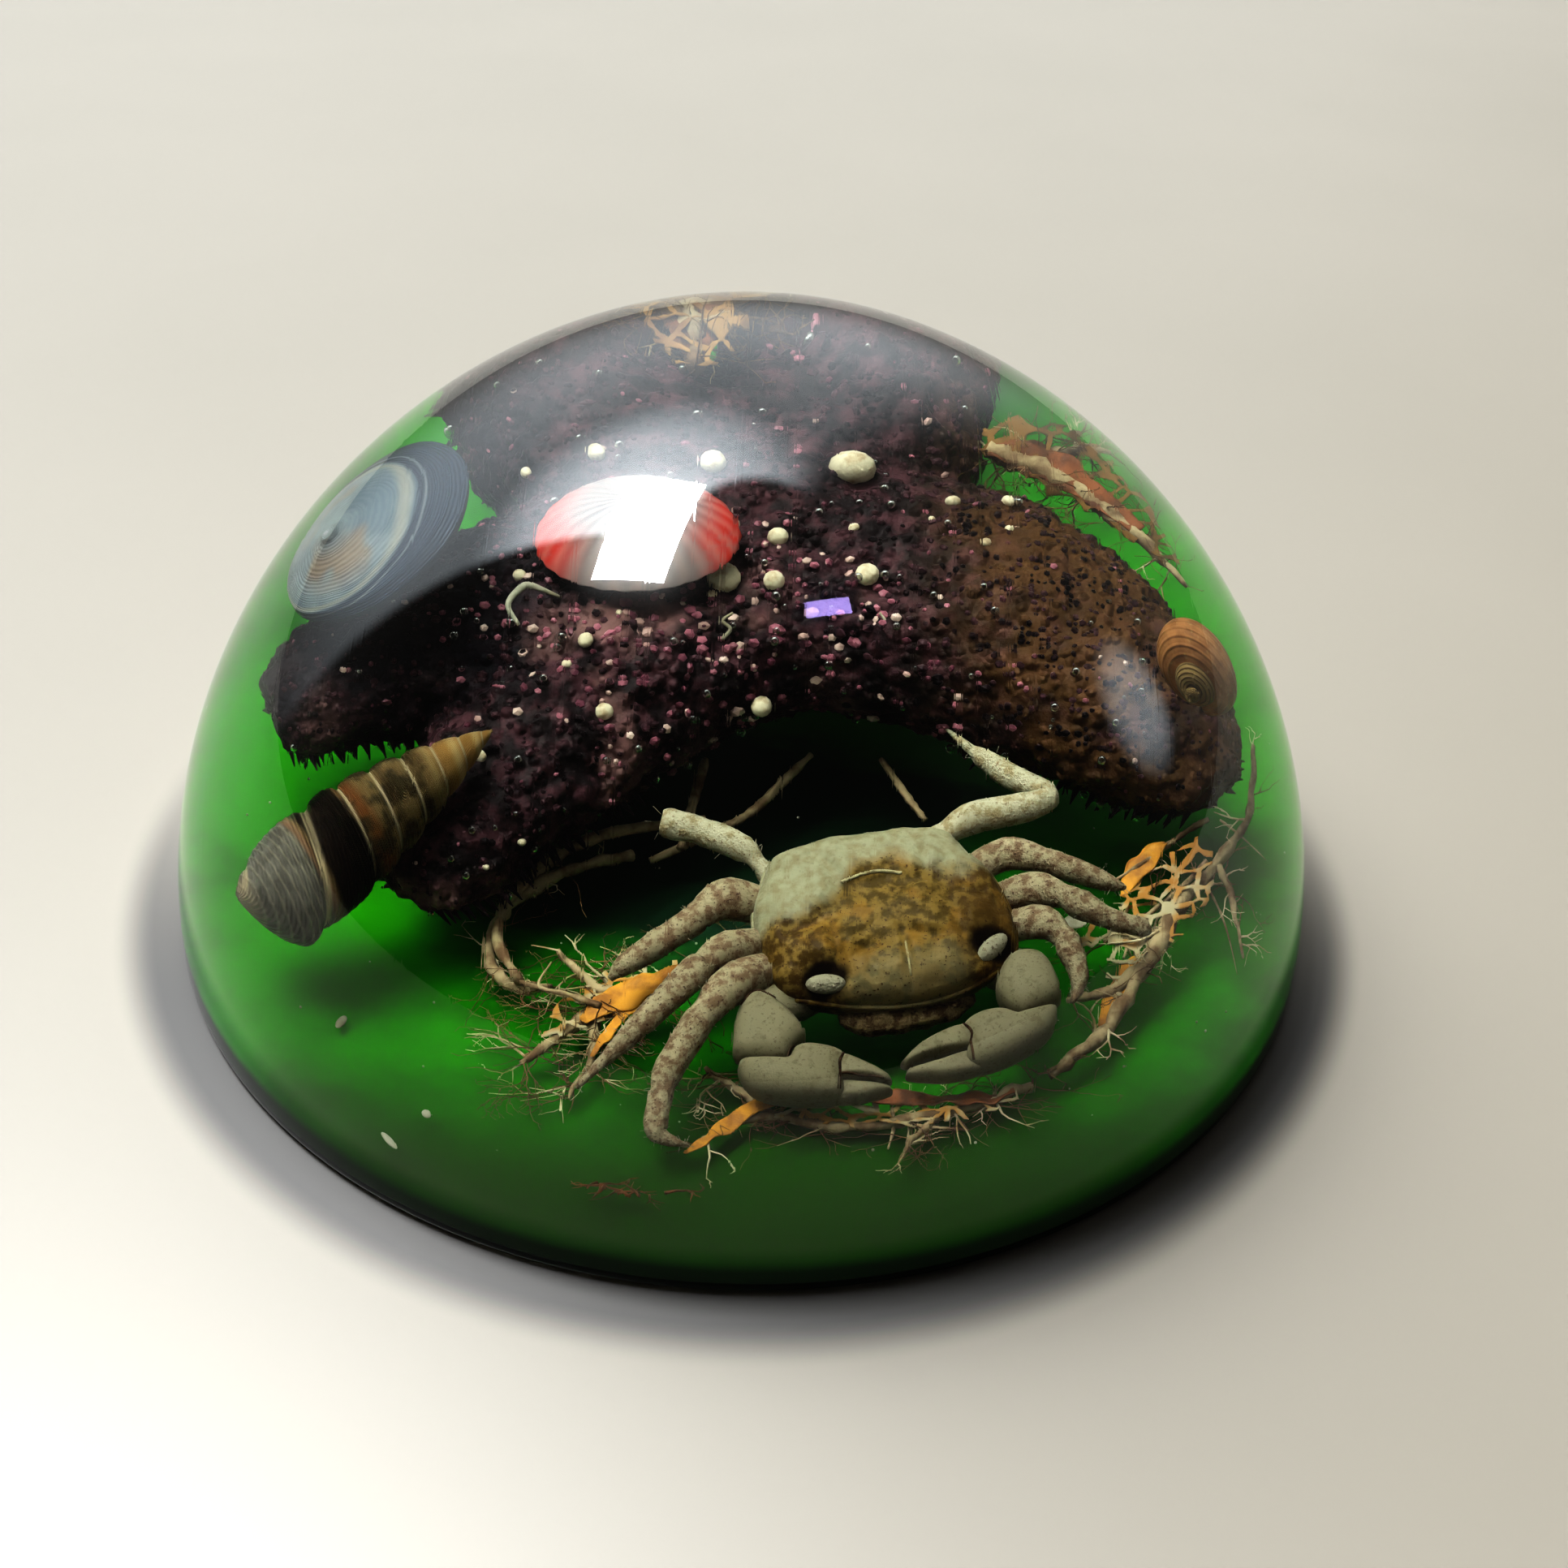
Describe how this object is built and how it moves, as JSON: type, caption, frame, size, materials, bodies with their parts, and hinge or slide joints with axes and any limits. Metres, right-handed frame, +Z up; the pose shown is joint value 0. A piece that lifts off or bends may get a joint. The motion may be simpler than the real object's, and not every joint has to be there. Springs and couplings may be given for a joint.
{
  "type": "sea life acrylic paperweight",
  "caption": "Clear resin dome on a green resin base, with a dried starfish, a small crab, shells and seaweed sealed inside; rests flat as a paperweight.",
  "frame": {"origin": "middle of the underside, at the height of the surface it stands on", "axes": "+Z up through the top of the dome; -Y towards the viewer, the side that the crab faces; +X to the viewer's right"},
  "size_m": [0.08, 0.08, 0.04],
  "materials": {
    "clear_resin": "polished clear casting resin with a faint grey-green cast and fine scratches",
    "green_resin": "dyed translucent green casting resin",
    "starfish": "dried granular skin, black-brown with magenta crumbs and pale tubercles",
    "crab": "dried shell, cream to ochre with dark speckles",
    "horn_shell": "banded brown, black and grey shell with pale sutures",
    "button_shell": "blue-grey shell with a tan patch and a pale rim",
    "brown_snail": "orange-brown shell with a pale spire",
    "red_shell": "red-orange valve fading to pinkish grey",
    "seaweed": "dried yellow-orange to whitish fibrous weed"
  },
  "bodies": {
    "root": {"resin_dome_upper": "clear_resin", "resin_dome_lower": "clear_resin", "green_base": "green_resin", "starfish": "starfish", "crab": "crab", "horn_shell": "horn_shell", "button_shell": "button_shell", "brown_snail": "brown_snail", "red_shell": "red_shell", "seaweed_right_stem": "seaweed", "seaweed_front_mat": "seaweed", "seaweed_left_branch": "seaweed", "seaweed_loop": "seaweed", "seaweed_back_tuft": "seaweed", "seaweed_back_sprig": "seaweed"}
  },
  "joints": []
}
